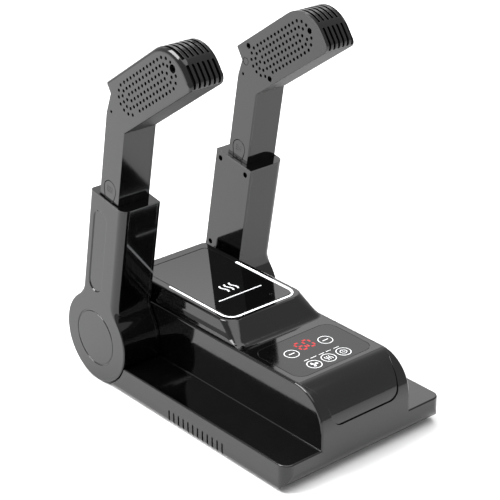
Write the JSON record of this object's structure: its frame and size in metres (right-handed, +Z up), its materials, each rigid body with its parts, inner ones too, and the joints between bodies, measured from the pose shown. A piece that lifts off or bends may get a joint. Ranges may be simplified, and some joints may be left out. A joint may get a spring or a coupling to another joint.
{
  "type": "boot dryer",
  "caption": "Electric boot dryer: low base with a raised control body and folding arms carrying telescoping tubes with bent, perforated warm-air heads.",
  "frame": {"origin": "on the ground under the middle of the box that holds the whole dryer", "axes": "+X to the right arm, -Y towards the control panel's side, +Z up; metres"},
  "size_m": [0.2016, 0.33, 0.3801],
  "materials": {
    "casing_plastic": "glossy black moulded plastic",
    "plate_gloss": "mirror-polished black plastic",
    "film_gloss": "glossy black film with pale printed marks and a red display",
    "light_line": "milky white light guide",
    "inner_plastic": "fine-textured black plastic",
    "screen_mesh": "fine black mesh",
    "washer_nylon": "plain natural nylon",
    "board_plastic": "green printed circuit board with dark components",
    "mica_board": "pale mica board",
    "foot_rubber": "matte black rubber",
    "screw_steel": "blackened steel",
    "motor_steel": "plain steel can",
    "duct_metal": "thin folded steel",
    "heater_wire": "dull resistance wire"
  },
  "bodies": {
    "base": {"main_casing": "casing_plastic", "bottom_cover": "inner_plastic", "rubber_feet": "foot_rubber", "base_screws": "screw_steel", "top_cover": "casing_plastic", "led_light_guide": "light_line", "top_plate": "plate_gloss", "touch_film": "film_gloss", "display_module": "board_plastic", "control_board": "board_plastic", "power_board": "board_plastic", "mains_inlet": "inner_plastic", "fan_housing": "inner_plastic", "fan_motor": "motor_steel", "heater_housing": "duct_metal", "heater_frame": "mica_board", "heater_coil": "heater_wire", "air_manifold": "inner_plastic", "right_hinge_spigot": "inner_plastic", "right_retaining_ring": "screw_steel", "right_friction_washer": "washer_nylon", "left_hinge_spigot": "inner_plastic", "left_retaining_ring": "screw_steel", "left_friction_washer": "washer_nylon"},
    "impeller": {"fan_impeller": "inner_plastic", "motor_shaft": "screw_steel"},
    "right_arm": {"right_arm_shell": "casing_plastic", "right_arm_inner_cover": "casing_plastic", "right_arm_top_cap": "plate_gloss", "right_arm_screws": "screw_steel"},
    "right_tube": {"right_tube_shell": "casing_plastic", "right_tube_inner_cover": "casing_plastic", "right_head_screws": "screw_steel", "right_boss_plug": "casing_plastic", "right_head_screen": "screen_mesh", "right_slide_guide": "inner_plastic"},
    "right_outer_button": {"right_outer_latch": "casing_plastic"},
    "right_inner_button": {"right_inner_latch": "casing_plastic"},
    "left_arm": {"left_arm_shell": "casing_plastic", "left_arm_inner_cover": "casing_plastic", "left_arm_top_cap": "plate_gloss", "left_arm_screws": "screw_steel"},
    "left_tube": {"left_tube_shell": "casing_plastic", "left_tube_inner_cover": "casing_plastic", "left_head_screws": "screw_steel", "left_boss_plug": "casing_plastic", "left_head_screen": "screen_mesh", "left_slide_guide": "inner_plastic"},
    "left_outer_button": {"left_outer_latch": "casing_plastic"},
    "left_inner_button": {"left_inner_latch": "casing_plastic"}
  },
  "joints": [
    {"name": "fan_spin", "type": "hinge", "parent": "base", "child": "impeller", "pos_m": [0, -0.005, 0.026], "axis": [0, 0, 1], "continuous": true},
    {"name": "right_arm_fold", "type": "hinge", "parent": "base", "child": "right_arm", "pos_m": [0.0788, 0.1182, 0.0478], "axis": [1, 0, 0], "range_deg": [-10, 60]},
    {"name": "right_tube_slide", "type": "slide", "parent": "right_arm", "child": "right_tube", "axis": [0, -0.1736, 0.9848], "range_m": [-0.06, 0]},
    {"name": "right_outer_button_press", "type": "slide", "parent": "right_tube", "child": "right_outer_button", "axis": [-1, 0, 0], "range_m": [0, 0.002], "stiffness_N_per_m": 900},
    {"name": "right_inner_button_press", "type": "slide", "parent": "right_tube", "child": "right_inner_button", "axis": [1, 0, 0], "range_m": [0, 0.002], "stiffness_N_per_m": 900},
    {"name": "left_arm_fold", "type": "hinge", "parent": "base", "child": "left_arm", "pos_m": [-0.0788, 0.1182, 0.0478], "axis": [1, 0, 0], "range_deg": [-10, 60]},
    {"name": "left_tube_slide", "type": "slide", "parent": "left_arm", "child": "left_tube", "axis": [0, -0.1736, 0.9848], "range_m": [-0.06, 0]},
    {"name": "left_outer_button_press", "type": "slide", "parent": "left_tube", "child": "left_outer_button", "axis": [1, 0, 0], "range_m": [0, 0.002], "stiffness_N_per_m": 900},
    {"name": "left_inner_button_press", "type": "slide", "parent": "left_tube", "child": "left_inner_button", "axis": [-1, 0, 0], "range_m": [0, 0.002], "stiffness_N_per_m": 900}
  ]
}
